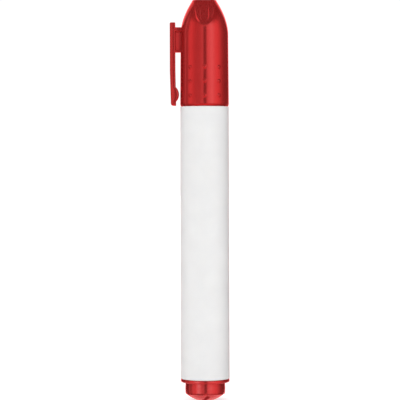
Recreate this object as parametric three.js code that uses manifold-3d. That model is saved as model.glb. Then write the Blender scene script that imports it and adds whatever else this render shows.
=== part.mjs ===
// Felt tip marker with a translucent snap cap, moulded pocket clip and domed end plug.
// Millimetres. +Z runs up the marker's axis from the end plug to the cap's flat tip. The origin is on the
// axis at the plug's end, and the clip stands on the -X side.
import * as THREE from "three";
import { mergeVertices } from "three/addons/utils/BufferGeometryUtils.js";
import Module from "manifold-3d";

const wasm = await Module();
wasm.setup();

// Driving dimensions: overall.
const LENGTH = 133.35;
const AROUND = 48; // facets round every turned piece
const FIT = 0.25; // air left between pieces that touch
const SNAP_BEAD = 0.1; // height of the bead on each neck that the cap snaps over

// Barrel.
const BARREL_FOOT_Z = 7.4;
const SHOULDER_Z = 97.8;
const BARREL_FOOT_R = 8.15;
const BARREL_SHOULDER_R = 8.03;
const BORE_R = 6.95;
const NECK_R = 6.5;
const NECK_TOP_Z = 104.5;
const NECK_BEAD_Z = 101;
const NECK_BORE_R = 5.6;
const RIB_COUNT = 6;
const RIB_REACH_R = 6.4;

// End plug.
const PLUG_FOOT_R = 1.8;
const DOME_R = 9.3;
const DOME_EDGE_R = 6.2;
const PLUG_NECK_R = 6.6;
const PLUG_BEAD_Z = 3.8;
const FLANGE_R = 8.1;
const FLANGE_BOTTOM_Z = 6.2;
const PLUG_SLEEVE_TOP_Z = 14;
const VENT_WIDTH = 1.3;
const VENT_OUTER_R = 5.9;
const VENT_LENGTH = 3.4;
const VENT_DEPTH = 0.8;
const VENT_TURN = 11; // degrees of the slot's outer end from the front, towards +X
const VENT_SKEW = 21; // degrees between the slot and the radius at its outer end

// Ink system.
const RESERVOIR_R = 5.8;
const RESERVOIR_FROM_Z = 14.4;
const RESERVOIR_TO_Z = 94.4;
const WRAP_THICKNESS = 0.25;
const NIB_R = 2.55;
const NIB_FROM_Z = 88.6;
const NIB_SHOULDER_Z = 116.2;
const NIB_TIP_Z = 122.2;
const HOLDER_BORE_R = 2.75;
const HOLDER_NOSE_Z = 115;

// Cap.
const CAP_MOUTH_Z = SHOULDER_Z + FIT;
const CAP_MOUTH_R = 8.08;
const MOUTH_EDGE = 0.22; // the mouth's outer edge is drawn in by this over MOUTH_EDGE_HEIGHT
const MOUTH_EDGE_HEIGHT = 0.75;
const CAP_BORE_R = 6.8;
const DOME_START_Z = 122;
const DOME_START_R = 7.91;
const DOME_FALL = 0.0456; // the dome's radius falls by DOME_FALL * height ** DOME_POWER
const DOME_POWER = 1.85;
const TIP_ROUND = 0.35;
const FLAT_START_Z = 125;
const FLAT_START_R = 7.56;
const FLAT_SLOPE = 0.46; // each thumb flat leans in by FLAT_SLOPE * height + FLAT_CURVE * height ** 2
const FLAT_CURVE = 0.02;
const DOT_ROWS_Z = [101.5, 106.25, 110.9];
const DOT_ANGLES = [-36, 0, 36];
const DOT_R = 0.55;
const DOT_HEIGHT = 0.2;

// Pocket clip.
const CLIP_WIDTH = 4.5;
const CLIP_OUTER_X = -11.5;
const CLIP_INNER_X = -9.68;
const CLIP_TOP_Z = 126;
const CLIP_BEND_Z = 110;
const CLIP_TIP_Z = 98.3;
const CLIP_TIP_OUTER_X = -11.17;
const CLIP_TIP_INNER_X = -9.47;
const BRIDGE_TOP_Z = 124.4;
const BRIDGE_PLATE = 1.5;
const BRIDGE_BOTTOM_Z = 116.05;
const BRIDGE_LIP = 0.6;
const BRIDGE_WEB = 2.4; // width of the web between the plate and the lip
const RIDGE_Z = 102.1;
const RIDGE_CREST_X = -8.5;
const RIDGE_HALF_HEIGHT = 2.4;

const degrees = THREE.MathUtils.degToRad;

// A geometry as a manifold solid, turned outside out if its profile ran the other way.
function solid(geometry) {
  const bare = geometry.clone();
  bare.deleteAttribute("normal");
  bare.deleteAttribute("uv");
  const merged = mergeVertices(bare, 1e-4);
  const vertProperties = merged.attributes.position.array;
  const triVerts = new Uint32Array(merged.index.array);
  const made = new wasm.Manifold(new wasm.Mesh({ numProp: 3, vertProperties, triVerts }));
  if (made.volume() > 0) return made;
  for (let i = 0; i < triVerts.length; i += 3) {
    [triVerts[i + 1], triVerts[i + 2]] = [triVerts[i + 2], triVerts[i + 1]];
  }
  return new wasm.Manifold(new wasm.Mesh({ numProp: 3, vertProperties, triVerts }));
}

// Turns a profile of [radius, z] points about the Z axis.
function turned(profile, facets = AROUND) {
  const points = profile.map(([r, z]) => new THREE.Vector2(r, z));
  return solid(new THREE.LatheGeometry(points, facets).rotateX(Math.PI / 2));
}

// A turned ring: the profile closes on itself, clear of the axis.
function turnedRing(profile) {
  return turned([...profile, profile[0]]);
}

// An outline of [x, z] points, made width thick about the plane y = 0.
function slab(outline, width) {
  const shape = new THREE.Shape(outline.map(([x, z]) => new THREE.Vector2(x, z)));
  const geometry = new THREE.ExtrudeGeometry(shape, { depth: width, bevelEnabled: false });
  return solid(geometry.rotateX(Math.PI / 2).translate(0, width / 2, 0));
}

// A box between two corners.
function block([x0, y0, z0], [x1, y1, z1]) {
  const geometry = new THREE.BoxGeometry(x1 - x0, y1 - y0, z1 - z0);
  return solid(geometry.translate((x0 + x1) / 2, (y0 + y1) / 2, (z0 + z1) / 2));
}

// Points of a circular arc from one angle to another, in degrees.
function arc(cx, cz, radius, from, to, steps) {
  return Array.from({ length: steps + 1 }, (_, i) => {
    const angle = degrees(from + ((to - from) * i) / steps);
    return [cx + radius * Math.cos(angle), cz + radius * Math.sin(angle)];
  });
}

function meshOf(name, shape, material) {
  const { vertProperties, triVerts, numProp, numVert } = shape.getMesh();
  const positions = new Float32Array(numVert * 3);
  for (let i = 0; i < numVert; i++) {
    positions.set(vertProperties.subarray(i * numProp, i * numProp + 3), i * 3);
  }
  const geometry = new THREE.BufferGeometry();
  geometry.setAttribute("position", new THREE.BufferAttribute(positions, 3));
  geometry.setIndex(new THREE.BufferAttribute(triVerts, 1));
  geometry.computeVertexNormals();
  const mesh = new THREE.Mesh(geometry, material);
  mesh.name = name;
  return mesh;
}

// The low bead on a snap neck, as points of a profile going up.
function bead(radius, z) {
  return [
    [radius, z - 0.6],
    [radius + SNAP_BEAD, z],
    [radius, z + 0.6],
  ];
}

// White tube with the front neck moulded on, and ribs that centre the ink reservoir.
function barrel() {
  const tube = turnedRing([
    [BARREL_FOOT_R, BARREL_FOOT_Z],
    [BARREL_SHOULDER_R, SHOULDER_Z - 0.3],
    [BARREL_SHOULDER_R - 0.3, SHOULDER_Z],
    [NECK_R, SHOULDER_Z],
    ...bead(NECK_R, NECK_BEAD_Z),
    [NECK_R, NECK_TOP_Z - 0.4],
    [NECK_R - 0.4, NECK_TOP_Z],
    [NECK_BORE_R, NECK_TOP_Z],
    [NECK_BORE_R, SHOULDER_Z - 1.6],
    [BORE_R, SHOULDER_Z - 3],
    [BORE_R, BARREL_FOOT_Z],
  ]);
  let shape = tube;
  for (let i = 0; i < RIB_COUNT; i++) {
    const rib = block([RIB_REACH_R, -0.5, 20], [BORE_R + 0.3, 0.5, 92]);
    shape = shape.add(rib.rotate([0, 0, (360 * i) / RIB_COUNT]));
  }
  return shape;
}

// The space of one vent slot in the plug's dome, its outer end on +X.
function ventCutter() {
  const steps = 4;
  const roof = Array.from({ length: steps + 1 }, (_, i) => {
    const along = (VENT_LENGTH * i) / steps;
    const towardsAxis = 2 * VENT_OUTER_R * along * Math.cos(degrees(VENT_SKEW));
    const radiusSquared = VENT_OUTER_R ** 2 + along ** 2 - towardsAxis;
    return [-along, DOME_R - Math.sqrt(DOME_R ** 2 - radiusSquared) + VENT_DEPTH];
  });
  const slot = slab([[0, -1], ...roof, [-VENT_LENGTH, -1]], VENT_WIDTH);
  return slot.rotate([0, 0, VENT_SKEW]).translate([VENT_OUTER_R, 0, 0]);
}

// Vented dome, snap neck for posting the cap, flange, and a hollow sleeve pressed into the barrel.
function endPlug() {
  const domeEdge = Math.asin(DOME_EDGE_R / DOME_R);
  const foot = Math.asin(PLUG_FOOT_R / DOME_R);
  const drop = DOME_R * Math.cos(foot);
  const toDegrees = 180 / Math.PI;
  const dome = arc(0, drop, DOME_R, foot * toDegrees - 90, domeEdge * toDegrees - 90, 6);
  const body = turned([
    [0, 0],
    ...dome,
    [PLUG_NECK_R - 0.1, 2.5],
    [PLUG_NECK_R, 2.8],
    ...bead(PLUG_NECK_R, PLUG_BEAD_Z),
    [PLUG_NECK_R, FLANGE_BOTTOM_Z],
    [FLANGE_R - 0.45, FLANGE_BOTTOM_Z],
    [FLANGE_R - 0.1, FLANGE_BOTTOM_Z + 0.2],
    [FLANGE_R, FLANGE_BOTTOM_Z + 0.5],
    [FLANGE_R, BARREL_FOOT_Z - FIT],
    [BORE_R - FIT, BARREL_FOOT_Z - FIT],
    [BORE_R - FIT, PLUG_SLEEVE_TOP_Z - 0.5],
    [BORE_R - FIT - 0.3, PLUG_SLEEVE_TOP_Z],
    [5.7, PLUG_SLEEVE_TOP_Z],
    [5.5, 4],
    [4.6, 2.9],
    [2.6, 2.1],
    [0, 1.9],
  ]);
  let shape = body;
  for (const side of [0, 180]) {
    shape = shape.subtract(ventCutter().rotate([0, 0, VENT_TURN - 90 + side]));
  }
  return shape;
}

// Pressed into the neck: guides the nib, rests on the neck's end, and carries the land the cap seals on.
function nibHolder() {
  const stemR = NECK_BORE_R - FIT;
  return turnedRing([
    [stemR, RESERVOIR_TO_Z + 0.6],
    [stemR, NECK_TOP_Z + FIT],
    [NECK_R - 0.3, NECK_TOP_Z + FIT],
    [NECK_R - 0.3, NECK_TOP_Z + 0.9],
    [NECK_R - 0.6, NECK_TOP_Z + 1.1],
    [5.5, NECK_TOP_Z + 1.1],
    [4.9, HOLDER_NOSE_Z - 6.6],
    [4.6, HOLDER_NOSE_Z - 6.3],
    [4.6, HOLDER_NOSE_Z - 2.8],
    [3.6, HOLDER_NOSE_Z - 0.3],
    [3.3, HOLDER_NOSE_Z],
    [HOLDER_BORE_R, HOLDER_NOSE_Z],
    [HOLDER_BORE_R, 101],
    [4, 99.5],
    [4, RESERVOIR_TO_Z + 0.6],
  ]);
}

// Bullet point of pressed fibre; its tail is pushed into the reservoir.
function nib() {
  return turned(
    [
      [0, NIB_FROM_Z],
      [NIB_R - 0.8, NIB_FROM_Z],
      [NIB_R, NIB_FROM_Z + 1.2],
      [NIB_R, NIB_SHOULDER_Z],
      [1.3, NIB_TIP_Z - 1.7],
      [0.95, NIB_TIP_Z - 0.8],
      [0.5, NIB_TIP_Z - 0.2],
      [0, NIB_TIP_Z],
    ],
    32,
  );
}

function inkReservoir() {
  return turned(
    [
      [0, RESERVOIR_FROM_Z],
      [RESERVOIR_R, RESERVOIR_FROM_Z],
      [RESERVOIR_R, RESERVOIR_TO_Z],
      [NIB_R + FIT, RESERVOIR_TO_Z],
      [NIB_R + FIT, NIB_FROM_Z - FIT],
      [0, NIB_FROM_Z - FIT],
    ],
    32,
  );
}

// Film sleeve round the reservoir.
function reservoirWrap() {
  const inner = RESERVOIR_R + 0.1;
  return turnedRing([
    [inner, RESERVOIR_FROM_Z + 0.3],
    [inner + WRAP_THICKNESS, RESERVOIR_FROM_Z + 0.3],
    [inner + WRAP_THICKNESS, RESERVOIR_TO_Z - 0.3],
    [inner, RESERVOIR_TO_Z - 0.3],
  ]);
}

function domeRadius(z) {
  return DOME_START_R - DOME_FALL * Math.max(0, z - DOME_START_Z) ** DOME_POWER;
}

// The cap's turned shell: bore, rounded mouth, drafted wall, and the dome cut off flat at the tip.
function capShell() {
  const domeSteps = 10;
  const domeTop = LENGTH - TIP_ROUND;
  const dome = Array.from({ length: domeSteps + 1 }, (_, i) => {
    const z = DOME_START_Z + ((domeTop - DOME_START_Z) * i) / domeSteps;
    return [domeRadius(z), z];
  });
  return turned([
    [0, 129.2],
    [4, 129],
    [4.5, 128],
    [5.5, 126],
    [6.4, 123.5],
    [CAP_BORE_R, 121],
    [CAP_BORE_R, CAP_MOUTH_Z + 0.8],
    [CAP_BORE_R + 0.3, CAP_MOUTH_Z + 0.2],
    [CAP_BORE_R + 0.6, CAP_MOUTH_Z],
    [CAP_MOUTH_R - MOUTH_EDGE, CAP_MOUTH_Z],
    [CAP_MOUTH_R, CAP_MOUTH_Z + MOUTH_EDGE_HEIGHT],
    ...dome,
    [domeRadius(domeTop) - 0.12, LENGTH - 0.1],
    [domeRadius(domeTop) - 0.4, LENGTH],
    [0, LENGTH],
  ]);
}

// The space outside one thumb flat, on the -Y side of the tip.
function flatCutter() {
  const steps = 6;
  const reach = LENGTH - FLAT_START_Z + 1;
  const face = Array.from({ length: steps + 1 }, (_, i) => {
    const height = (reach * i) / steps;
    return [FLAT_START_R - FLAT_SLOPE * height - FLAT_CURVE * height ** 2, FLAT_START_Z + height];
  });
  const outside = FLAT_START_R + 6;
  const outline = [...face, [outside, FLAT_START_Z + reach], [outside, FLAT_START_Z]];
  return slab(outline, 20).rotate([0, 0, -90]);
}

// Low round grip bumps in rows and columns, on the front and on the back.
function gripDots() {
  const dots = [];
  for (const side of [0, 180]) {
    for (const angle of DOT_ANGLES) {
      for (const z of DOT_ROWS_Z) {
        const share = (z - CAP_MOUTH_Z) / (DOME_START_Z - CAP_MOUTH_Z);
        const wall = CAP_MOUTH_R + (DOME_START_R - CAP_MOUTH_R) * share;
        const geometry = new THREE.SphereGeometry(DOT_R, 10, 6);
        geometry.scale(DOT_HEIGHT / DOT_R, 1, 1).translate(wall, 0, z);
        dots.push(solid(geometry).rotate([0, 0, angle - 90 + side]));
      }
    }
  }
  return dots;
}

// The bridge between the cap's wall and the clip: a plate on top, a thin web, and a lip below.
function bridge() {
  const wallX = -(DOME_START_R - 0.4);
  const clipX = CLIP_INNER_X - 0.2;
  const half = CLIP_WIDTH / 2;
  const plate = block([clipX, -half, BRIDGE_TOP_Z - BRIDGE_PLATE], [wallX + 0.5, half, BRIDGE_TOP_Z]);
  const lip = block([clipX, -half, BRIDGE_BOTTOM_Z], [wallX, half, BRIDGE_BOTTOM_Z + BRIDGE_LIP]);
  const web = block([clipX, -BRIDGE_WEB / 2, BRIDGE_BOTTOM_Z], [wallX, BRIDGE_WEB / 2, BRIDGE_TOP_Z - 1]);
  return plate.add(lip).add(web);
}

// The clip's upper length, which the bridge holds rigid.
function clipRoot() {
  return slab(
    [
      [CLIP_OUTER_X, BRIDGE_BOTTOM_Z],
      [CLIP_INNER_X, BRIDGE_BOTTOM_Z],
      [CLIP_INNER_X, CLIP_TOP_Z],
      [CLIP_OUTER_X + 0.45, CLIP_TOP_Z],
      [CLIP_OUTER_X + 0.1, CLIP_TOP_Z - 0.2],
      [CLIP_OUTER_X, CLIP_TOP_Z - 0.6],
    ],
    CLIP_WIDTH,
  );
}

function cap() {
  let shape = capShell();
  for (const turn of [0, 180]) {
    shape = shape.subtract(flatCutter().rotate([0, 0, turn]));
  }
  for (const dot of gripDots()) {
    shape = shape.add(dot);
  }
  return shape.add(bridge()).add(clipRoot());
}

// The clip's free length, which springs out over a pocket's edge, with a cross ridge on its inner side.
function clipArm() {
  const rootZ = BRIDGE_BOTTOM_Z - 0.3;
  const arm = slab(
    [
      [CLIP_OUTER_X, rootZ],
      [CLIP_OUTER_X, CLIP_BEND_Z],
      [CLIP_TIP_OUTER_X, CLIP_TIP_Z + 1.4],
      [CLIP_TIP_OUTER_X + 0.2, CLIP_TIP_Z + 0.5],
      [CLIP_TIP_OUTER_X + 0.6, CLIP_TIP_Z + 0.05],
      [CLIP_TIP_OUTER_X + 0.8, CLIP_TIP_Z],
      [CLIP_TIP_INNER_X, CLIP_TIP_Z],
      [CLIP_TIP_INNER_X, RIDGE_Z],
      [CLIP_INNER_X, CLIP_BEND_Z],
      [CLIP_INNER_X, rootZ],
    ],
    CLIP_WIDTH,
  );
  const rise = RIDGE_CREST_X - CLIP_TIP_INNER_X;
  const ridgeR = (RIDGE_HALF_HEIGHT ** 2 + rise ** 2) / (2 * rise);
  const reach = (Math.asin(RIDGE_HALF_HEIGHT / ridgeR) * 180) / Math.PI;
  const crest = arc(RIDGE_CREST_X - ridgeR, RIDGE_Z, ridgeR, -reach, reach, 10);
  const root = CLIP_TIP_INNER_X - 0.5;
  const ridge = slab(
    [[root, RIDGE_Z - RIDGE_HALF_HEIGHT], ...crest, [root, RIDGE_Z + RIDGE_HALF_HEIGHT]],
    CLIP_WIDTH,
  );
  return arm.add(ridge);
}

// Soft liner pressed into the cap's bore; it closes over the nib holder's land and keeps the nib wet.
function innerCap() {
  const mouthZ = 109;
  return turned([
    [0, 127.8],
    [3, 127.8],
    [3.4, 127.2],
    [3.5, 124],
    [4.85, 118],
    [4.85, mouthZ],
    [CAP_BORE_R - FIT, mouthZ],
    [CAP_BORE_R - FIT, mouthZ + 1],
    [5.6, mouthZ + 1.4],
    [5.6, 118],
    [4.3, 124],
    [4.1, 128.2],
    [3.7, 128.6],
    [0, 128.6],
  ]);
}

const whitePlastic = new THREE.MeshStandardMaterial({ color: 0xededed, roughness: 0.5, metalness: 0 });
const redPlastic = new THREE.MeshStandardMaterial({ color: 0xb02828, roughness: 0.18, metalness: 0 });
const linerPlastic = new THREE.MeshStandardMaterial({ color: 0xe8e4e0, roughness: 0.55, metalness: 0 });
const inkedFelt = new THREE.MeshStandardMaterial({ color: 0xb01e24, roughness: 0.95, metalness: 0 });
const inkedFibre = new THREE.MeshStandardMaterial({ color: 0xc2343a, roughness: 1, metalness: 0 });
const clearFilm = new THREE.MeshStandardMaterial({ color: 0xf0e6e6, roughness: 0.2, metalness: 0 });

const marker = new THREE.Group();
marker.add(
  meshOf("barrel", barrel(), whitePlastic),
  meshOf("nib_holder", nibHolder(), whitePlastic),
  meshOf("nib", nib(), inkedFelt),
  meshOf("ink_reservoir", inkReservoir(), inkedFibre),
  meshOf("reservoir_wrap", reservoirWrap(), clearFilm),
  meshOf("end_plug", endPlug(), redPlastic),
  meshOf("cap", cap(), redPlastic),
  meshOf("inner_cap", innerCap(), linerPlastic),
  meshOf("clip_arm", clipArm(), redPlastic),
);

export default marker;
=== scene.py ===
"""Looks of the felt tip marker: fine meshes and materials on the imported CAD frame, with its camera and light.

Sizes with no unit in their name are millimetres; new_piece() turns them into Blender's metres. The light is
placed by direction: turn is in degrees from the front towards +X, and lift in degrees above level.
"""

import math

import bmesh
import bpy
import numpy as np
from mathutils import Matrix, Vector


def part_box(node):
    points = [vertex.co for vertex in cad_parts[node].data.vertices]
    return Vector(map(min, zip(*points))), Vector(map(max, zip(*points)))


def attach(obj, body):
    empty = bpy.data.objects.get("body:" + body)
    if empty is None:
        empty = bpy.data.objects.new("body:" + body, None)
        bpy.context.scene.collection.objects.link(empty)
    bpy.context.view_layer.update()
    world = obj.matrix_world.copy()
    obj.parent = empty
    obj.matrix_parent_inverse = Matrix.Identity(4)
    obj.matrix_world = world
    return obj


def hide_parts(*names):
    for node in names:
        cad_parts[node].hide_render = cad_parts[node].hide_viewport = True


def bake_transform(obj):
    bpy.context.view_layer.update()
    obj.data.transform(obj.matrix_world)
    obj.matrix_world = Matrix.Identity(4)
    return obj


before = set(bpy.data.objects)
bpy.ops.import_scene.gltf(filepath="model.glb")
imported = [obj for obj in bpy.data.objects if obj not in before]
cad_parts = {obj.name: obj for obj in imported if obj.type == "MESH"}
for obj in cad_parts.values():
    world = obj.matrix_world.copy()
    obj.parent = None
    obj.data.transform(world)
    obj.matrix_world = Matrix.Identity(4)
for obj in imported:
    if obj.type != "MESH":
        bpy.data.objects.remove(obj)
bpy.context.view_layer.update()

MM = 0.001
AROUND = 256  # columns round a turned piece
CAP_AROUND = 480
SMALL_AROUND = 96  # the same for the small pieces inside
POLE_R = 1e-6  # a ring smaller than this is a single point
SHARP = 50  # degrees between faces above which an edge is shaded sharp
PLUG_SHARP = 35


# --- Places, read from the CAD frame -------------------------------------------------------------


def box_mm(node):
    """A CAD node's lowest and highest corner, in millimetres."""
    low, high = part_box(node)
    return low / MM, high / MM


barrel_low, barrel_high = box_mm("barrel")
plug_low, plug_high = box_mm("end_plug")
cap_low, cap_high = box_mm("cap")
arm_low, arm_high = box_mm("clip_arm")
holder_low, holder_high = box_mm("nib_holder")
nib_low, nib_high = box_mm("nib")
reservoir_low, reservoir_high = box_mm("ink_reservoir")
wrap_low, wrap_high = box_mm("reservoir_wrap")
liner_low, liner_high = box_mm("inner_cap")

LENGTH = cap_high.z
SHOULDER_Z = cap_low.z - 0.1  # where the cap's mouth meets the barrel
FIT = 0.25  # air between the CAD's pieces
NECK_R = 6.5
BORE_R = 6.95
NECK_BORE_R = 5.6
BARREL_FOOT_R = barrel_high.x
BARREL_SHOULDER_R = 8.03
NECK_BEAD_Z = 101
NECK_BEAD_HEIGHT = 0.1
NECK_BEAD_REACH = 0.7  # from the bead's crest to its foot
GAP = 0.05  # left between parts of one body that touch

PLUG_FOOT_R = 1.8
PLUG_NECK_R = 6.6
PLUG_DOME_R = 9.3
PLUG_DOME_EDGE_R = 6.2
PLUG_BEAD_Z = 4.1
PLUG_BEAD_HEIGHT = 0.04
PLUG_BEAD_REACH = 1
PLUG_EDGE = 0.1  # how far the neck's lower edge slopes in
PLUG_EDGE_Z = (2.3, 2.95)
PLUG_DOME_STEPS = 14
PLUG_SLEEVE_BORE_R = 5.7
PLUG_HOLLOW = ((5.5, 4, 1.2), (2.6, 2.1, 2), (0, 1.9))  # its lower end, as profile corners
FLANGE_BOTTOM_Z = 6.2
FLANGE_GAP = 0.06  # between the flange and the barrel's foot
VENT_WIDTH = 1.3
VENT_OUTER_R = 5.9
VENT_LENGTH = 3.4
VENT_DEPTH = 0.8
VENT_TURN = 11  # degrees of the slot's outer end from the front, towards +X
VENT_SKEW = 21  # degrees between the slot and the radius at its outer end

HOLDER_LIP_R = NECK_R - 0.3
HOLDER_LIP = 1.1
HOLDER_LAND_R = 5.5
HOLDER_CONE_R = 4.9
HOLDER_NOSE_R = 4.6
HOLDER_END_R = 3.4
HOLDER_BORE_R = 2.7
HOLDER_BORE_Z = 101
HOLDER_SOCKET_R = 4
HOLDER_SOCKET_Z = 99.5
NIB_CONE = 6  # height of its cone
NIB_POINT_R = 1.2
WRAP_GAP = 0.1
LINER_BORE_R = 4.85
LINER_R = 5.6
LINER_WALL_TOP_Z = 118
LINER_SHOULDER_Z = 124

CAP_MOUTH_Z = cap_low.z
CAP_MOUTH_R = 8.08
CAP_BORE_R = 6.8
CAP_BORE_END = ((0, 129.2), (4.1, 129, 0.6), (5.5, 126, 2), (CAP_BORE_R, 121, 2))  # profile corners
TIP_EDGE = 0.4  # rounding of the tip's edge
TIP_EDGE_STEPS = 6
TIP_RINGS = (0.85, 0.6, 0.35, 0.15)  # rings on the tip's disc, as shares of its radius
LAST_ROW_Z = LENGTH - 0.5
FINE_ROW = 0.08
COARSE_ROW = 0.3
MOUTH_EDGE = 0.22  # how far the wall turns in at the mouth
MOUTH_EDGE_HEIGHT = 0.75
DOME_START_Z = 122
DOME_START_R = 7.91
DOME_FALL = 0.0456
DOME_POWER = 1.85
FLAT_START_Z = 125  # lower end of the thumb flats
FLAT_START_R = 7.56  # their distance from the axis there
FLAT_SLOPE = 0.46
FLAT_CURVE = 0.02
FLAT_FILLET = 0.2
PANEL_HALF_WIDTH = 1.4
PANEL_BOTTOM_Z = 126.1
PANEL_DEPTH = 0.07
PANEL_FADE = 6  # height below the tip over which its depth fades to nothing at the tip
PANEL_EDGE = 0.18  # half the width of its sloping edge
DOT_ROWS_Z = (101.5, 106.25, 110.9)
DOT_ANGLES = (-36, 0, 36)
DOT_R = 0.66
DOT_HEIGHT = 0.24
FRONT_SHARE = 0.3  # how strongly the cap's columns gather at the front and back

CLIP_WIDTH = arm_high.y - arm_low.y
CLIP_OUTER_X = cap_low.x
CLIP_CROWN = 0.09  # how far its sides bulge
CLIP_TAPER = 0.035  # its outer side is narrower by this share
CLIP_INNER_X = -9.68
CLIP_TOP_Z = 125.9
CLIP_LEAN_Z = 110  # below this it leans towards the cap
CLIP_TIP_Z = arm_low.z
CLIP_TIP_OUTER_X = -11.17
CLIP_TIP_INNER_X = -9.47
CLIP_OUTER_CORNER = 0.3
CLIP_INNER_CORNER = 0.42
CLIP_TIP_ROUNDING = (0.7, 0.12, 0.4)  # of its outer face, inner face and sides at the tip
CLIP_TOP_ROUNDING = (0.4, 0.12, 0.4)
CLIP_ROW = 0.15
CLIP_TOP_STEPS = 8
BRIDGE_TOP_Z = 124.28
BRIDGE_PLATE = 1.5
BRIDGE_BOTTOM_Z = 116.05
BRIDGE_LIP = 0.6
BRIDGE_WEB = 2.6
WEB_TAPER = 0.12  # the web is narrower by this share at the clip
BRIDGE_INSET = 0.3  # the plate and the lip are narrower than the clip by this much
BRIDGE_SINK = 0.3  # how far the bridge runs into the clip
WALL_SINK = 0.5  # and into the cap's wall
RIDGE_Z = 102.1
RIDGE_CREST_X = arm_high.x
RIDGE_HALF_HEIGHT = 2.4


# --- Camera ---------------------------------------------------------------------------------------


CAMERA_DISTANCE = 617
CAMERA_X = -1.6  # the middle of the marker with its clip
CAMERA_Z = 78.9
AIM_Z = 66.88
LENS = 166.6
CAMERA_ROLL = -0.15  # degrees


def make_camera():
    """Long lens, level with the upper half of the marker, framed on its whole length."""
    eye = Vector((CAMERA_X, -CAMERA_DISTANCE, CAMERA_Z))
    aim = Vector((CAMERA_X, 0, AIM_Z))
    data = bpy.data.cameras.new("camera")
    data.lens = LENS
    data.sensor_width = 36
    data.clip_start = 0.01
    camera = bpy.data.objects.new("camera", data)
    turn = (aim - eye).to_track_quat("-Z", "Y")
    roll = Matrix.Rotation(math.radians(CAMERA_ROLL), 4, "Z")
    camera.matrix_world = Matrix.Translation(eye * MM) @ turn.to_matrix().to_4x4() @ roll
    bpy.context.scene.collection.objects.link(camera)
    bpy.context.scene.camera = camera


# --- Mesh tools -----------------------------------------------------------------------------------


STRAIGHT = math.radians(88)  # half the angle at a corner above which it isn't rounded
ARC_STEP = math.radians(12)
LONGEST_REACH = 0.49  # of a side, that one corner's rounding may take


def new_piece(name, vertices, faces, material, body=None, nodes=()):
    """A smooth mesh from points in millimetres. It rides on body and stands for the CAD nodes."""
    mesh = bpy.data.meshes.new(name)
    mesh.from_pydata((np.asarray(vertices, float) * MM).tolist(), [], faces)
    mesh.validate()
    mesh.shade_smooth()
    mesh.materials.append(material)
    piece = bpy.data.objects.new(name, mesh)
    bpy.context.scene.collection.objects.link(piece)
    if nodes:
        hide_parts(*nodes)
    if body:
        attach(piece, body)
    return piece


def rounded(corners, closed=False):
    """A path through (a, b, radius) corners, each rounded by an arc; radius 0 keeps it sharp."""
    points = [np.array(c[:2], float) for c in corners]
    count = len(points)
    path = []
    for i, point in enumerate(points):
        radius = corners[i][2] if len(corners[i]) > 2 else 0
        at_end = not closed and i in (0, count - 1)
        if radius == 0 or at_end:
            path.append(point)
            continue
        before = points[i - 1] - point
        after = points[(i + 1) % count] - point
        before_length = np.linalg.norm(before)
        after_length = np.linalg.norm(after)
        before = before / before_length
        after = after / after_length
        half = math.acos(np.clip(before @ after, -1, 1)) / 2
        if half > STRAIGHT:
            path.append(point)
            continue
        reach = min(radius / math.tan(half), LONGEST_REACH * min(before_length, after_length))
        radius = reach * math.tan(half)
        middle = (before + after) / np.linalg.norm(before + after)
        centre = point + middle * radius / math.sin(half)
        first = point + before * reach
        last = point + after * reach
        steps = max(3, int((math.pi - 2 * half) / ARC_STEP))
        for k in range(steps + 1):
            straight = first + (last - first) * k / steps
            spoke = straight - centre
            path.append(centre + spoke * radius / np.linalg.norm(spoke))
    return path


def spaced(path, longest, closed=False, support=0.12):
    """The path with no stretch over longest, and with a point close to each end of a long stretch."""
    out = []
    count = len(path)
    for i in range(count if closed else count - 1):
        start = path[i]
        end = path[(i + 1) % count]
        length = np.linalg.norm(end - start)
        shares = [0.0]
        if length > 4 * support:
            shares.append(support / length)
            inner = max(1, math.ceil((length - 2 * support) / longest))
            span = 1 - 2 * support / length
            shares += [support / length + span * k / inner for k in range(1, inner)]
            shares.append(1 - support / length)
        out += [start + (end - start) * s for s in shares]
    if not closed:
        out.append(path[-1])
    return out


def ring_mesh(rings, angles, closed=False):
    """Vertices and faces through rings of (radii, z), with a radius for each angle."""
    vertices = []
    rows = []
    for radii, z in rings:
        if np.max(radii) < POLE_R:
            rows.append([len(vertices)] * len(angles))
            vertices.append((0, 0, z))
            continue
        rows.append(list(range(len(vertices), len(vertices) + len(angles))))
        vertices += list(zip(radii * np.cos(angles), radii * np.sin(angles), np.full(len(angles), z)))
    return vertices, grid_faces(rows, closed)


def turned(profile, closed=False, around=AROUND, longest=3):
    """Vertices and faces of a profile of (radius, z, rounding) corners turned about the Z axis."""
    path = spaced(rounded(profile, closed), longest, closed)
    angles = np.arange(around) * 2 * math.pi / around
    return ring_mesh(path, angles, closed)


def grid_faces(rows, closed):
    """Faces between rows of vertex numbers, each row a ring; a ring of one number is a pole."""
    faces = []
    count = len(rows)
    for i in range(count if closed else count - 1):
        low = rows[i]
        high = rows[(i + 1) % count]
        for j in range(len(low)):
            k = (j + 1) % len(low)
            corners = [low[j], low[k], high[k], high[j]]
            face = [c for n, c in enumerate(corners) if c != corners[n - 1]]
            if len(face) > 2:
                faces.append(face)
    return faces


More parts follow.
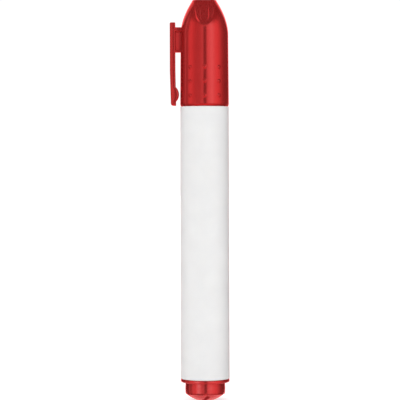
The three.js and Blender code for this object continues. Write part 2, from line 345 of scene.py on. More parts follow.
def slab_mesh(outline, width, edge):
    """A closed (x, z, rounding) outline made width thick about y = 0, its long edges rounded."""
    path = rounded(outline, closed=True)
    mesh = bmesh.new()
    front = [mesh.verts.new((x, -width / 2, z)) for x, z in path]
    face = mesh.faces.new(front)
    made = bmesh.ops.extrude_face_region(mesh, geom=[face])
    back = [v for v in made["geom"] if isinstance(v, bmesh.types.BMVert)]
    bmesh.ops.translate(mesh, verts=back, vec=(0, width, 0))
    bmesh.ops.recalc_face_normals(mesh, faces=mesh.faces)
    rims = [e for e in mesh.edges if abs(e.verts[0].co.y - e.verts[1].co.y) < 1e-6]
    bmesh.ops.bevel(
        mesh, geom=rims, offset=edge, segments=5, profile=0.5, affect="EDGES", clamp_overlap=True
    )
    mesh.verts.index_update()
    vertices = [tuple(v.co) for v in mesh.verts]
    faces = [[v.index for v in f.verts] for f in mesh.faces]
    mesh.free()
    return vertices, faces


def rectangle(low_x, high_x, low_z, high_z):
    """The outline of a rectangle, for slab_mesh."""
    return [(low_x, low_z), (high_x, low_z), (high_x, high_z), (low_x, high_z)]


def joined(*parts):
    """Several (vertices, faces) as one."""
    vertices = []
    faces = []
    for part_vertices, part_faces in parts:
        start = len(vertices)
        vertices += [tuple(v) for v in part_vertices]
        faces += [[start + i for i in face] for face in part_faces]
    return vertices, faces


def cut_away(piece, vertices, faces, lining):
    """Cuts a closed (vertices, faces) shape out of piece, leaving walls of the lining material."""
    cutter = new_piece("cutter", vertices, faces, piece.data.materials[0])
    cutter.data.materials.append(lining)
    cutter.data.polygons.foreach_set("material_index", [1] * len(cutter.data.polygons))
    modifier = piece.modifiers.new("cut", "BOOLEAN")
    modifier.operation = "DIFFERENCE"
    modifier.solver = "EXACT"
    modifier.object = cutter
    depsgraph = bpy.context.evaluated_depsgraph_get()
    cut = bpy.data.meshes.new_from_object(piece.evaluated_get(depsgraph))
    piece.modifiers.clear()
    piece.data = cut
    bpy.data.objects.remove(cutter)


def sharpen(piece, degrees):
    """Marks edges that turn by more than this as sharp, so that flat faces shade flat."""
    piece.data.set_sharp_from_angle(angle=math.radians(degrees))


# --- Materials ------------------------------------------------------------------------------------


NOISE_RANGE = (0.3, 0.7)  # where a noise texture's values mostly are


class Nodes:
    """A new node material with its Principled shader, and short calls to add to it."""

    def __init__(self, name):
        self.material = bpy.data.materials.new(name)
        self.material.use_nodes = True
        self.tree = self.material.node_tree
        self.shader = self.tree.nodes["Principled BSDF"]

    def add(self, kind, **settings):
        node = self.tree.nodes.new(kind)
        for key, value in settings.items():
            setattr(node, key, value)
        return node

    def link(self, source, target):
        self.tree.links.new(source, target)

    def set(self, **values):
        """Shader inputs by name, with _ for a space."""
        for key, value in values.items():
            self.shader.inputs[key.replace("_", " ")].default_value = value

    def place(self, scale=(1, 1, 1)):
        """Object coordinates in millimetres, stretched by scale."""
        coordinates = self.add("ShaderNodeTexCoord")
        mapping = self.add("ShaderNodeMapping")
        mapping.inputs["Scale"].default_value = [s / MM for s in scale]
        self.link(coordinates.outputs["Object"], mapping.inputs["Vector"])
        return mapping.outputs["Vector"]

    def noise(self, place, scale, detail=3, roughness=0.5):
        """Noise with this many features per millimetre, about 0.3 to 0.7."""
        node = self.add("ShaderNodeTexNoise")
        node.inputs["Scale"].default_value = scale
        node.inputs["Detail"].default_value = detail
        node.inputs["Roughness"].default_value = roughness
        self.link(place, node.inputs["Vector"])
        return node.outputs["Fac"]

    def span(self, value, low, high):
        """Turns a noise value into low to high."""
        node = self.add("ShaderNodeMapRange")
        node.inputs["From Min"].default_value = NOISE_RANGE[0]
        node.inputs["From Max"].default_value = NOISE_RANGE[1]
        node.inputs["To Min"].default_value = low
        node.inputs["To Max"].default_value = high
        self.link(value, node.inputs["Value"])
        return node.outputs["Result"]

    def scaled(self, value, factor):
        node = self.add("ShaderNodeMath", operation="MULTIPLY")
        node.inputs[1].default_value = factor
        self.link(value, node.inputs[0])
        return node.outputs["Value"]

    def mix(self, factor, low, high):
        """A colour between two, by factor."""
        node = self.add("ShaderNodeMix", data_type="RGBA")
        node.inputs["A"].default_value = (*low, 1)
        node.inputs["B"].default_value = (*high, 1)
        self.link(factor, node.inputs["Factor"])
        return node.outputs["Result"]

    def colour(self, value, dark, light):
        """Base colour that goes from dark to light with a noise value."""
        self.link(self.mix(self.span(value, 0, 1), dark, light), self.shader.inputs["Base Color"])

    def rough(self, value, low, high):
        """Roughness that goes from low to high with a noise value."""
        self.link(self.span(value, low, high), self.shader.inputs["Roughness"])

    def bump(self, height, strength, distance):
        """Bump of this height map; distance is its depth in millimetres."""
        node = self.add("ShaderNodeBump")
        node.inputs["Strength"].default_value = strength
        node.inputs["Distance"].default_value = distance * MM
        self.link(height, node.inputs["Height"])
        self.link(node.outputs["Normal"], self.shader.inputs["Normal"])


def red_plastic(name, clear):
    """Translucent red, glossy: a tinted reflection from the wall's depth under a clear one."""
    m = Nodes(name)
    place = m.place()
    m.colour(m.noise(place, 0.25, detail=4), (0.3, 0.0135, 0.0135), (0.33, 0.0155, 0.0155))
    m.rough(m.noise(place, 1.5, detail=5), 0.09, 0.13)
    m.set(IOR=1.9, Specular_IOR_Level=1.0, Specular_Tint=(1.0, 0.045, 0.045, 1))
    m.set(Coat_Weight=clear, Coat_Roughness=0.2, Coat_IOR=1.5)
    m.bump(m.noise(place, 0.5, detail=2), 0.12, 0.01)
    return m.material


def matt_red_plastic(name, painted_glow):
    """The same plastic where the mould left it rough, in a lighter red than the glossy plastic, which paints
    light into the slot's shade; its emission is a painted red glow that stands in for light through the walls.
    """
    m = Nodes(name)
    grain = m.noise(m.place(), 3, detail=4)
    m.colour(grain, (0.4, 0.02, 0.02), (0.45, 0.024, 0.024))
    m.rough(grain, 0.5, 0.65)
    # Emission: a painted red glow, not a lamp, in place of light coming through the walls.
    m.set(Specular_IOR_Level=0.2, Emission_Color=(1, 0.1, 0.1, 1), Emission_Strength=painted_glow)
    m.bump(grain, 0.3, 0.02)
    return m.material


def white_plastic():
    """Satin polypropylene with the mould's fine grain."""
    m = Nodes("white_plastic")
    place = m.place()
    drawn = m.place((1, 1, 0.08))
    m.colour(m.noise(place, 0.12, detail=3), (0.86, 0.86, 0.86), (0.9, 0.9, 0.895))
    m.rough(m.noise(drawn, 3, detail=4), 0.42, 0.52)
    m.set(IOR=1.49, Specular_IOR_Level=0.12)
    m.set(Subsurface_Weight=0.08, Subsurface_Scale=0.001, Subsurface_Radius=(1, 0.9, 0.8))
    m.bump(m.noise(place, 8, detail=5), 0.2, 0.008)
    return m.material


def liner_plastic():
    """Milky soft polyethylene."""
    m = Nodes("liner_plastic")
    place = m.place()
    m.colour(m.noise(place, 0.4), (0.74, 0.7, 0.68), (0.82, 0.79, 0.76))
    m.rough(m.noise(place, 4), 0.48, 0.6)
    m.set(Subsurface_Weight=0.2, Subsurface_Scale=0.001)
    m.bump(m.noise(place, 6), 0.2, 0.01)
    return m.material


def felt(name, dark, light, along):
    """Fibres pressed together and soaked with ink; along under 1 draws them out along the axis."""
    m = Nodes(name)
    fibres = m.noise(m.place((1, 1, along)), 7, detail=6, roughness=0.65)
    blotch = m.noise(m.place(), 0.8, detail=3)
    both = m.add("ShaderNodeMath", operation="ADD")
    m.link(m.scaled(fibres, 0.6), both.inputs[0])
    m.link(m.scaled(blotch, 0.4), both.inputs[1])
    m.colour(both.outputs["Value"], dark, light)
    m.rough(fibres, 0.8, 0.98)
    m.set(Sheen_Weight=0.25, Sheen_Roughness=0.5)
    m.bump(fibres, 0.7, 0.08)
    return m.material


def clear_film():
    """Thin crinkled film round the reservoir."""
    m = Nodes("clear_film")
    crinkle = m.noise(m.place((1, 1, 0.25)), 0.9, detail=4)
    m.colour(crinkle, (0.8, 0.72, 0.72), (0.92, 0.86, 0.86))
    m.rough(crinkle, 0.08, 0.2)
    m.set(Alpha=0.35)
    m.bump(crinkle, 0.4, 0.06)
    return m.material


RED = red_plastic("red_plastic", 0.24)
PLUG_RED = red_plastic("plug_red_plastic", 0.6)
# The slots' walls: a lighter red and a painted red glow that brighten their shade.
SLOT_RED = matt_red_plastic("slot_red_plastic", 0.1)
TIP_RED = matt_red_plastic("tip_red_plastic", 0)
WHITE = white_plastic()
LINER = liner_plastic()
NIB_FELT = felt("inked_felt", (0.2, 0.006, 0.01), (0.46, 0.02, 0.028), 0.35)
RESERVOIR_FIBRE = felt("inked_fibre", (0.3, 0.012, 0.018), (0.6, 0.06, 0.07), 0.04)
FILM = clear_film()


# --- Pieces ---------------------------------------------------------------------------------------


def bead(radius, z, height, reach):
    """The snap neck's low bead, as corners going up."""
    return [
        (radius, z - reach, 0.5),
        (radius + height, z, 0.6),
        (radius, z + reach, 0.5),
    ]


def make_barrel():
    foot = barrel_low.z
    top = barrel_high.z
    profile = [
        (BARREL_FOOT_R - 0.02, foot, 0.08),
        (BARREL_SHOULDER_R, SHOULDER_Z - 0.02, 0.12),
        (NECK_R, SHOULDER_Z - 0.02, 0.15),
        *bead(NECK_R, NECK_BEAD_Z, NECK_BEAD_HEIGHT, NECK_BEAD_REACH),
        (NECK_R, top - GAP, 0.4),
        (NECK_BORE_R, top - GAP, 0.15),
        (NECK_BORE_R, SHOULDER_Z - 1.6, 0.3),
        (BORE_R, SHOULDER_Z - 3, 0.3),
        (BORE_R, foot, 0.08),
    ]
    vertices, faces = turned(profile, closed=True)
    new_piece("barrel_tube", vertices, faces, WHITE, "barrel", ["barrel"])


def vent_cutter(turn):
    """The space of one vent slot in the plug's dome."""
    roof = []
    for along in np.linspace(0, VENT_LENGTH, 7):
        towards_axis = 2 * VENT_OUTER_R * along * math.cos(math.radians(VENT_SKEW))
        radius_squared = VENT_OUTER_R**2 + along**2 - towards_axis
        dome = PLUG_DOME_R - math.sqrt(PLUG_DOME_R**2 - radius_squared)
        roof.append((-along, dome + VENT_DEPTH))
    vertices, faces = slab_mesh([(0, -1), *roof, (-VENT_LENGTH, -1)], VENT_WIDTH, 0.02)
    skew = Matrix.Rotation(math.radians(VENT_SKEW), 3, "Z")
    spin = Matrix.Rotation(math.radians(turn), 3, "Z")
    outer_end = Vector((VENT_OUTER_R, 0, 0))
    return [spin @ (skew @ Vector(v) + outer_end) for v in vertices], faces


def make_end_plug():
    foot = plug_low.z
    sleeve_top = plug_high.z
    flange_r = plug_high.x
    flange_top = barrel_low.z - FLANGE_GAP
    sleeve_r = BORE_R - FIT
    drop = math.sqrt(PLUG_DOME_R**2 - PLUG_FOOT_R**2)
    first = math.asin(PLUG_FOOT_R / PLUG_DOME_R)
    last = math.asin(PLUG_DOME_EDGE_R / PLUG_DOME_R)
    dome = []
    for angle in np.linspace(first, last, PLUG_DOME_STEPS + 1):
        dome.append((PLUG_DOME_R * math.sin(angle), foot + drop - PLUG_DOME_R * math.cos(angle)))
    profile = [
        (0, foot),
        *dome,
        (PLUG_NECK_R - PLUG_EDGE, PLUG_EDGE_Z[0], 0.1),
        (PLUG_NECK_R, PLUG_EDGE_Z[1], 0.2),
        *bead(PLUG_NECK_R, PLUG_BEAD_Z, PLUG_BEAD_HEIGHT, PLUG_BEAD_REACH),
        (PLUG_NECK_R, FLANGE_BOTTOM_Z, 0.15),
        (flange_r, FLANGE_BOTTOM_Z, 0.36),
        (flange_r, flange_top, 0.18),
        (sleeve_r, flange_top, 0.1),
        (sleeve_r, sleeve_top, 0.4),
        (PLUG_SLEEVE_BORE_R, sleeve_top, 0.2),
        *PLUG_HOLLOW,
    ]
    vertices, faces = turned(profile)
    plug = new_piece("plug", vertices, faces, PLUG_RED, "barrel", ["end_plug"])
    plug.data.materials.append(SLOT_RED)
    for side in (0, 180):
        cut_away(plug, *vent_cutter(VENT_TURN - 90 + side), SLOT_RED)
    sharpen(plug, PLUG_SHARP)


def make_nib_holder():
    stem_r = NECK_BORE_R - FIT
    low = holder_low.z
    nose = holder_high.z
    seat = barrel_high.z + GAP
    profile = [
        (stem_r, low, 0.3),
        (stem_r, seat, 0),
        (HOLDER_LIP_R, seat, 0.15),
        (HOLDER_LIP_R, seat + HOLDER_LIP, 0.4),
        (HOLDER_LAND_R, seat + HOLDER_LIP + GAP, 0.3),
        (HOLDER_CONE_R, nose - 6.6, 0.4),
        (HOLDER_NOSE_R, nose - 6.2, 0.4),
        (HOLDER_NOSE_R, nose - 2.8, 0.5),
        (HOLDER_END_R, nose, 0.35),
        (HOLDER_BORE_R, nose, 0.1),
        (HOLDER_BORE_R, HOLDER_BORE_Z, 0.3),
        (HOLDER_SOCKET_R, HOLDER_SOCKET_Z, 0.3),
        (HOLDER_SOCKET_R, low, 0.2),
    ]
    vertices, faces = turned(profile, closed=True, around=160)
    new_piece("nib_seat", vertices, faces, WHITE, "barrel", ["nib_holder"])


def make_nib():
    radius = nib_high.x
    tail = nib_low.z
    tip = nib_high.z
    profile = [
        (0, tail),
        (radius, tail, 0.8),
        (radius, tip - NIB_CONE, 1.5),
        (NIB_POINT_R, tip - NIB_POINT_R, 1.6),
        (0.01, tip, 0),
        (0, tip),
    ]
    vertices, faces = turned(profile, around=SMALL_AROUND, longest=0.5)
    new_piece("felt_nib", vertices, faces, NIB_FELT, "barrel", ["nib"])


def make_reservoir():
    low = reservoir_low.z
    top = reservoir_high.z
    radius = reservoir_high.x
    socket = nib_high.x + FIT
    profile = [
        (0, low),
        (radius, low, 0.3),
        (radius, top, 0.3),
        (socket, top, 0.2),
        (socket, nib_low.z - FIT, 0.2),
        (0, nib_low.z - FIT),
    ]
    vertices, faces = turned(profile, around=SMALL_AROUND)
    new_piece(
        "reservoir_core", vertices, faces, RESERVOIR_FIBRE, "barrel", ["ink_reservoir"]
    )


def make_wrap():
    inner = reservoir_high.x + WRAP_GAP
    outer = wrap_high.x
    profile = [
        (inner, wrap_low.z, 0.05),
        (outer, wrap_low.z, 0.05),
        (outer, wrap_high.z, 0.05),
        (inner, wrap_high.z, 0.05),
    ]
    vertices, faces = turned(profile, closed=True, around=SMALL_AROUND)
    new_piece("film_sleeve", vertices, faces, FILM, "barrel", ["reservoir_wrap"])


def make_liner():
    mouth = liner_low.z
    top = liner_high.z
    rim_r = liner_high.x
    profile = [
        (0, top - 0.8),
        (3.4, top - 0.8, 0.6),
        (3.5, LINER_SHOULDER_Z, 1),
        (LINER_BORE_R, LINER_WALL_TOP_Z, 1.5),
        (LINER_BORE_R, mouth, 0.2),
        (rim_r, mouth, 0.2),
        (rim_r, mouth + 1.1, 0.3),
        (LINER_R, mouth + 1.3, 0.3),
        (LINER_R, LINER_WALL_TOP_Z, 1.5),
        (4.3, LINER_SHOULDER_Z, 1),
        (4.1, top, 0.8),
        (0, top),
    ]
    vertices, faces = turned(profile, around=128)
    new_piece("liner", vertices, faces, LINER, "cap", ["inner_cap"])


def wall_radius(z):
    """The cap's outer radius, before its flats: drafted wall, then the dome."""
    share = (z - CAP_MOUTH_Z) / (DOME_START_Z - CAP_MOUTH_Z)
    wall = CAP_MOUTH_R + (DOME_START_R - CAP_MOUTH_R) * min(share, 1)
    return wall - DOME_FALL * max(0, z - DOME_START_Z) ** DOME_POWER


def ramp(value, start, end):
    """0 before start, 1 after end, smooth between."""
    share = np.clip((value - start) / (end - start), 0, 1)
    return share * share * (3 - 2 * share)


def flat_radius(z, angles, dome):
    """Radius on the nearer thumb flat, which has a shallow sunk panel, and dome outside it."""
    facing = np.maximum(np.abs(np.sin(angles)), 0.05)
    height = z - FLAT_START_Z
    flat = FLAT_START_R - FLAT_SLOPE * height - FLAT_CURVE * max(0, height) ** 2
    across = np.abs(flat * np.cos(angles) / facing)
    corner = max(0, PANEL_BOTTOM_Z + PANEL_HALF_WIDTH - z)
    from_middle = np.hypot(across, corner)
    inner = PANEL_HALF_WIDTH - PANEL_EDGE
    panel = PANEL_DEPTH * ramp(from_middle, inner + 2 * PANEL_EDGE, inner)
    panel *= min(1, (LENGTH - z) / PANEL_FADE)
    share = np.clip(0.5 + (flat - dome * facing) / (2 * FLAT_FILLET), 0, 1)
    met = flat + (dome * facing - flat) * share - FLAT_FILLET * share * (1 - share)
    return (met - panel) / facing


def ring_radius(z, angles):
    """The cap's outer radius round one ring, with the two thumb flats and the grip dots."""
    radius = np.full(len(angles), wall_radius(z))
    if z > FLAT_START_Z - 1:
        radius = flat_radius(z, angles, radius)
    for row in DOT_ROWS_Z:
        if abs(z - row) > DOT_R:
            continue
        for side in (-90, 90):
            for dot in DOT_ANGLES:
                turn = np.angle(np.exp(1j * (angles - math.radians(dot + side))))
                away = np.hypot(turn * CAP_MOUTH_R, z - row) / DOT_R
                radius += DOT_HEIGHT * np.clip(1 - away**3, 0, 1) ** 1.5
    return radius


def cap_rows():
    """Heights of the cap's outer rings, closer where the surface has detail."""
    heights = [CAP_MOUTH_Z + 1.4 * MOUTH_EDGE_HEIGHT]
    while heights[-1] < LAST_ROW_Z:
        z = heights[-1]
        by_dot = any(abs(z - row) < DOT_R + 0.1 for row in DOT_ROWS_Z)
        step = FINE_ROW if by_dot or z > FLAT_START_Z - 0.6 else COARSE_ROW
        heights.append(z + step)
    return heights


def cap_columns():
    """Angles round the cap, closer together at the front and back, where the flats and dots are."""
    share = np.arange(CAP_AROUND) / CAP_AROUND
    even = 2 * math.pi * share
    return even + FRONT_SHARE * np.sin(2 * even)


def cap_shell():
    """Vertices and faces of the cap's shell, from the bore's closed end out to the tip."""
    around = CAP_AROUND
    angles = cap_columns()
    bore = [*CAP_BORE_END, (CAP_BORE_R, CAP_MOUTH_Z, 0.35)]
    mouth = [
        (CAP_BORE_R, CAP_MOUTH_Z, 0),
        (CAP_MOUTH_R - MOUTH_EDGE, CAP_MOUTH_Z, 0.12),
        (CAP_MOUTH_R, CAP_MOUTH_Z + MOUTH_EDGE_HEIGHT, 0.3),
        (CAP_MOUTH_R, CAP_MOUTH_Z + 2 * MOUTH_EDGE_HEIGHT, 0),
    ]
    rings = []
    for radius, z in [*spaced(rounded(bore), 2)[:-1], *rounded(mouth)[1:-1]]:
        rings.append((np.full(around, radius), z))
    for z in cap_rows():
        rings.append((ring_radius(z, angles), z))
    disc = ring_radius(LENGTH - TIP_EDGE, angles) - TIP_EDGE
    for angle in np.linspace(0, math.pi / 2, TIP_EDGE_STEPS + 1)[1:]:
        z = LENGTH - TIP_EDGE + TIP_EDGE * math.sin(angle)
        rings.append((disc + TIP_EDGE * math.cos(angle), z))
    for share in TIP_RINGS:
        rings.append((disc * share, LENGTH))
    rings.append((np.zeros(around), LENGTH))
    return ring_mesh(rings, angles)


def bridge():
    """Plate, web and lip between the cap's wall and the clip."""
    wall = WALL_SINK - DOME_START_R
    clip = CLIP_INNER_X - BRIDGE_SINK
    width = CLIP_WIDTH - BRIDGE_INSET
    plate = [
        (clip, BRIDGE_TOP_Z - BRIDGE_PLATE),
        (wall, BRIDGE_TOP_Z - BRIDGE_PLATE),
        (wall + WALL_SINK, BRIDGE_TOP_Z),
        (clip, BRIDGE_TOP_Z),
    ]
    lip = rectangle(clip, wall, BRIDGE_BOTTOM_Z, BRIDGE_BOTTOM_Z + BRIDGE_LIP)
    web = rectangle(clip, wall, BRIDGE_BOTTOM_Z + 0.1, BRIDGE_TOP_Z - 0.5)
    vertices, faces = slab_mesh(web, BRIDGE_WEB, 0.1)
    narrowed = [(x, y * (1 - WEB_TAPER * (wall - x) / (wall - clip)), z) for x, y, z in vertices]
    return joined(slab_mesh(plate, width, 0.3), slab_mesh(lip, width, 0.12), (narrowed, faces))


def make_cap():
    vertices, faces = joined(cap_shell(), bridge())
    cap = new_piece("cap_shell", vertices, faces, RED, "cap", ["cap"])
    cap.data.materials.append(TIP_RED)
    for face in cap.data.polygons:
        if face.center.z > (LENGTH - 0.01) * MM:
            face.material_index = 1
    sharpen(cap, SHARP)


def clip_faces(z):
    """Outer and inner x of the clip at a height."""
    share = np.clip((CLIP_LEAN_Z - z) / (CLIP_LEAN_Z - CLIP_TIP_Z), 0, 1)
    outer = CLIP_OUTER_X + (CLIP_TIP_OUTER_X - CLIP_OUTER_X) * share
    inner = CLIP_INNER_X + (CLIP_TIP_INNER_X - CLIP_INNER_X) * share
    return outer, inner


def clip_section():
    """The clip's rounded section, as shares of its depth and width from its middle."""
    depth = CLIP_INNER_X - CLIP_OUTER_X
    corners = [
        (-depth / 2, -CLIP_WIDTH / 2, CLIP_OUTER_CORNER),
        (depth / 2, -CLIP_WIDTH / 2, CLIP_INNER_CORNER),
        (depth / 2, CLIP_WIDTH / 2, CLIP_INNER_CORNER),
        (-depth / 2, CLIP_WIDTH / 2, CLIP_OUTER_CORNER),
    ]
    ring = spaced(rounded(corners, closed=True), 0.25, closed=True, support=0.06)
    return np.array(ring) / [depth, CLIP_WIDTH]


def end_round(distance, radius):
    """How far a surface is set in at this distance from a rounded end."""
    if distance >= radius:
        return 0
    return radius - math.sqrt(radius**2 - (radius - distance) ** 2)


def ridge_height(z):
    """How far the cross ridge stands out from the clip's inner face at a height."""
    rise = RIDGE_CREST_X - clip_faces(RIDGE_Z)[1]
    radius = (RIDGE_HALF_HEIGHT**2 + rise**2) / (2 * rise)
    away = min(abs(z - RIDGE_Z), radius)
    return max(0, math.sqrt(radius**2 - away**2) - (radius - rise))


def clip_ring(z, section):
    """Points round the clip at a height."""
    outer_in, inner_in, side_in = (
        end_round(z - CLIP_TIP_Z, at_tip) + end_round(CLIP_TOP_Z - z, at_top)
        for at_tip, at_top in zip(CLIP_TIP_ROUNDING, CLIP_TOP_ROUNDING)
    )
    outer, inner = clip_faces(z)
    outer += outer_in
    inner += ridge_height(z) - inner_in
    x = (outer + inner) / 2 + section[:, 0] * (inner - outer)
    y = section[:, 1] * (CLIP_WIDTH - 2 * side_in)
    y += np.sign(y) * CLIP_CROWN * (1 - (2 * section[:, 0]) ** 2)
    y *= 1 - CLIP_TAPER * (0.5 - section[:, 0])
    return list(zip(x, y, np.full(len(x), z)))


def make_clip():
    """The whole clip as one springy piece, built as a single mesh from its tip to its rounded top."""
    section = clip_section()
    rounding = np.sin(np.radians(np.linspace(0, 90, CLIP_TOP_STEPS + 1)))
    heights = list(np.arange(CLIP_TIP_Z, CLIP_TOP_Z - 0.5, CLIP_ROW))
    heights += list(CLIP_TOP_Z - max(CLIP_TOP_ROUNDING) * (1 - rounding))
    vertices = []
    rows = []
    for z in heights:
        rows.append(list(range(len(vertices), len(vertices) + len(section))))
        vertices += clip_ring(z, section)
    faces = grid_faces(rows, closed=False)
    faces.append(rows[0][::-1])
    faces.append(rows[-1])
    clip = new_piece("clip", vertices, faces, RED, None, ["clip_arm"])
    sharpen(clip, SHARP)
    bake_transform(clip)


# --- Studio ---------------------------------------------------------------------------------------


# Brightness that glossy surfaces mirror, level with the marker: (turn, brightness).
BOXES = (
    (-180, 0.12),
    (-124, 0.05),
    (-113, 0.1),
    (-108, 0.95),
    (-102, 0.95),
    (-96, 0.35),
    (-91, 0.3),
    (-86, 0.95),
    (-79, 1.5),
    (-72, 1.75),
    (-66, 1.66),
    (-56, 1.28),
    (-48, 1.0),
    (-38, 0.86),
    (-28, 0.88),
    (-18, 1.05),
    (-9, 1.35),
    (-5, 0.9),
    (-2.5, 0),
    (6.5, 0),
    (10, 1.1),
    (16, 1.95),
    (26, 2.25),
    (36, 2.4),
    (48, 2.2),
    (66, 2.0),
    (78, 1.45),
    (86, 0.95),
    (98, 0.42),
    (112, 0.18),
    (180, 0.12),
)
# The same for the light that falls on matt surfaces. Not chosen by hand: all but the stops at 80, 90 and 105
# are scaled and rounded results of a least-squares fit to the barrel's shading in the photo.
FILL = (
    (-180, 1.55),
    (-140, 0.87),
    (-130, 0.9),
    (-100, 2.2),
    (-90, 1.95),
    (-70, 0.2),
    (-60, 0),
    (-40, 0),
    (-30, 0.5),
    (-10, 3.0),
    (0, 3.15),
    (20, 2.2),
    (40, 0.8),
    (52, 0.25),
    (62, 0.25),
    (80, 0.7),
    (90, 0.75),
    (105, 0.3),
    (150, 0),
    (165, 1.1),
    (180, 1.55),
)
# How much cooler the mirrored light is: green and blue for each red.
COOLER = (
    (-180, 0.3),
    (-90, 0.45),
    (-50, 0.6),
    (-24, 0.75),
    (0, 1.0),
    (14, 1.0),
    (36, 1.5),
    (54, 0.8),
    (70, 0.5),
    (180, 0.3),
)
# The same for mirrored light from below the horizon, which the plug mirrors.
LOW_COOLER = (
    (-180, 0.3),
    (-58, 0.45),
    (-39, 1.6),
    (-22, 0.65),
    (0, 0.7),
    (36, 0.7),
    (60, 0.4),
    (180, 0.3),
)
BOX_TOP = (24, 38)  # lift where the boxes begin and end to fade
BOX_BOTTOM = (-10, -36)
# Small lamps in the mirrored light: brightness, then the turns and the lifts that each covers, both as
# (from, to, softness).
LAMPS = (
    (1.3, (-4, 9, 3), (25.5, 32, 1.5)),  # over the dark gap between the front boxes
    (1.3, (-4, 9, 3), (-28, -16, 1.5)),  # under it
    (1.5, (-56, -22, 12), (-14, -1, 1.5)),  # on the left of the plug's neck
    (2.6, (-44, -16, 5), (41, 55, 3)),  # on the edge of the thumb flat
    (1.7, (-42, -14, 4), (57, 70, 2)),  # on the left edge of the flat's panel
    (0.5, (14, 42, 4), (57, 70, 2)),  # on its right edge
)
# The same behind the marker, on both sides: its turns count away from the front either way.
BACK_LAMP = (1.5, (135, 166, 8), (-30, -11, 3))
FLOOR_GLOW_FROM = (-26, -31)  # below this the pale floor is mirrored
FLOOR_GLOW = (1.75, 0.58, 0.58)  # the floor just below takes on the plug's red
LOW_FROM = (0, -3)  # lift where LOW_COOLER takes over from COOLER
BACKGROUND = 1.05  # seen by the camera
# Red cards behind: their light edges the tip, as light does that comes through a clear red wall.
CARD_GLOW = (1.4, 0.36, 0.36)
CARD_LEAN = 0.87  # degrees of turn for each degree of lift
LEFT_CARD_FROM = 149
RIGHT_CARD_FROM = 158
CARD_SOFTNESS = 2
CARD_LIFTS = (6, 46, 3)
EDGE_GLOW = (1.1, 0.06, 0.06)  # the same light through the wall, along the cap's two sides
EDGE_GLOW_FROM = (142, 156)


class Sky:
    """Node tools for the studio's brightness by direction."""

    def __init__(self, tree):
        self.tree = tree
        coordinates = tree.nodes.new("ShaderNodeTexCoord")
        split = tree.nodes.new("ShaderNodeSeparateXYZ")
        tree.links.new(coordinates.outputs["Generated"], split.inputs["Vector"])
        back = self.math("MULTIPLY", split.outputs["Y"], -1)
        around = self.math("ARCTAN2", split.outputs["X"], back)
        self.turn = self.math("DEGREES", around)
        self.lift = self.math("DEGREES", self.math("ARCSINE", split.outputs["Z"]))

    def math(self, operation, *values):
        node = self.tree.nodes.new("ShaderNodeMath")
        node.operation = operation
        for value, socket in zip(values, node.inputs):
            if isinstance(value, (int, float)):
                socket.default_value = value
            else:
                self.tree.links.new(value, socket)
        return node.outputs["Value"]

    def blend(self, factor, first, second):
        """First at factor 0, second at factor 1."""
        away = self.math("MULTIPLY", first, self.math("SUBTRACT", 1, factor))
        return self.math("ADD", away, self.math("MULTIPLY", second, factor))

    def smooth(self, value, start, end):
        """0 before start, 1 after end."""
        node = self.tree.nodes.new("ShaderNodeMapRange")
        node.interpolation_type = "SMOOTHSTEP"
        node.inputs["From Min"].default_value = start
        node.inputs["From Max"].default_value = end
        self.tree.links.new(value, node.inputs["Value"])
        return node.outputs["Result"]

    def around(self, stops, top=4):
        """Brightness by turn, through (degrees, brightness) stops."""
        node = self.tree.nodes.new("ShaderNodeValToRGB")
        ramp = node.color_ramp
        ramp.interpolation = "LINEAR"
        while len(ramp.elements) < len(stops):
            ramp.elements.new(0.5)
        for element, (degrees, brightness) in zip(ramp.elements, stops):
            element.position = (degrees + 180) / 360
        for element, (degrees, brightness) in zip(ramp.elements, stops):
            level = brightness / top
            element.color = (level, level, level, 1)
        share = self.math("DIVIDE", self.math("ADD", self.turn, 180), 360)
        self.tree.links.new(share, node.inputs["Fac"])
        return self.math("MULTIPLY", node.outputs["Color"], top)

    def window(self, value, low, high, soft):
        """1 between low and high, with soft edges."""
        rise = self.smooth(value, low - soft, low + soft)
        fall = self.smooth(value, high + soft, high - soft)
        return self.math("MULTIPLY", rise, fall)

    def lamp(self, turn, brightness, turns, lifts):
        """A soft patch of light over a range of turns and lifts."""
        patch = self.math("MULTIPLY", self.window(turn, *turns), self.window(self.lift, *lifts))
        return self.math("MULTIPLY", patch, brightness)


def mirrored_light(sky):
    """Brightness of what glossy surfaces mirror: soft boxes all round, and small lamps."""
    below_top = sky.smooth(sky.lift, BOX_TOP[1], BOX_TOP[0])
    above_bottom = sky.smooth(sky.lift, BOX_BOTTOM[1], BOX_BOTTOM[0])
    level = sky.math("MULTIPLY", sky.around(BOXES), sky.math("MULTIPLY", below_top, above_bottom))
    for lamp in LAMPS:
        level = sky.math("ADD", level, sky.lamp(sky.turn, *lamp))
    either_side = sky.math("ABSOLUTE", sky.turn)
    return sky.math("ADD", level, sky.lamp(either_side, *BACK_LAMP))


def red_cards(sky):
    """Where the two red cards are, behind and above the marker."""
    lean = sky.math("MULTIPLY", sky.lift, CARD_LEAN)
    left_turn = sky.math("SUBTRACT", lean, sky.turn)
    right_turn = sky.math("ADD", lean, sky.turn)
    left = sky.smooth(left_turn, LEFT_CARD_FROM - CARD_SOFTNESS, LEFT_CARD_FROM + CARD_SOFTNESS)
    right = sky.smooth(right_turn, RIGHT_CARD_FROM - CARD_SOFTNESS, RIGHT_CARD_FROM + CARD_SOFTNESS)
    return sky.math("MULTIPLY", sky.math("MAXIMUM", left, right), sky.window(sky.lift, *CARD_LIFTS))


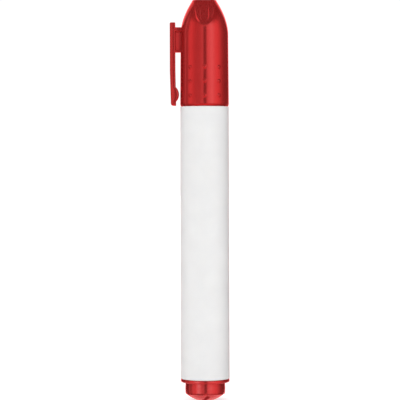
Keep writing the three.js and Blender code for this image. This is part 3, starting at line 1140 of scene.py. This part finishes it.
def mirrored_colour(sky):
    """Red, green and blue of what glossy surfaces mirror."""
    red = mirrored_light(sky)
    low = sky.smooth(sky.lift, *LOW_FROM)
    cooler = sky.blend(low, sky.around(COOLER, top=2), sky.around(LOW_COOLER, top=2))
    others = sky.math("MULTIPLY", red, cooler)
    cards = red_cards(sky)
    edges = sky.smooth(sky.math("ABSOLUTE", sky.turn), *EDGE_GLOW_FROM)
    near_floor = sky.smooth(sky.lift, *FLOOR_GLOW_FROM)
    channels = []
    for level, card, edge, floor in zip((red, others, others), CARD_GLOW, EDGE_GLOW, FLOOR_GLOW):
        level = sky.math("ADD", level, sky.math("MULTIPLY", cards, card))
        level = sky.math("ADD", level, sky.math("MULTIPLY", edges, edge))
        channels.append(sky.blend(near_floor, level, floor))
    return channels


def make_world():
    """A white studio: mirrored light, softer fill light for matt surfaces, and white behind."""
    world = bpy.data.worlds.new("studio")
    world.use_nodes = True
    tree = world.node_tree
    sky = Sky(tree)
    path = tree.nodes.new("ShaderNodeLightPath")
    fill = sky.around(FILL)
    colour = tree.nodes.new("ShaderNodeCombineColor")
    for mirrored, socket in zip(mirrored_colour(sky), colour.inputs):
        shown = sky.blend(path.outputs["Is Glossy Ray"], fill, mirrored)
        tree.links.new(sky.blend(path.outputs["Is Camera Ray"], shown, BACKGROUND), socket)
    tree.links.new(colour.outputs["Color"], tree.nodes["Background"].inputs["Color"])
    bpy.context.scene.world = world


FLOOR_LIGHT = 0.6
FLOOR_REACH = 4000


def floor_paper():
    """Pale seamless studio paper, lit until it is white but for the faintest shadow."""
    m = Nodes("floor_paper")
    m.colour(m.noise(m.place(), 2, detail=4), (0.56, 0.56, 0.56), (0.59, 0.59, 0.59))
    m.set(Roughness=1, Specular_IOR_Level=0, Emission_Color=(1, 1, 1, 1))
    path = m.add("ShaderNodeLightPath")
    m.link(m.scaled(path.outputs["Is Camera Ray"], FLOOR_LIGHT), m.shader.inputs["Emission Strength"])
    return m.material


def make_floor():
    reach = FLOOR_REACH
    vertices = [(-reach, -reach, 0), (reach, -reach, 0), (reach, reach, 0), (-reach, reach, 0)]
    floor = new_piece("floor", vertices, [[0, 1, 2, 3]], floor_paper())
    floor.visible_glossy = False


def make_studio():
    make_world()
    make_floor()
    bpy.context.scene.view_settings.view_transform = "Standard"


make_camera()
make_barrel()
make_end_plug()
make_nib_holder()
make_nib()
make_reservoir()
make_wrap()
make_liner()
make_cap()
make_clip()
make_studio()

bpy.context.view_layer.update()
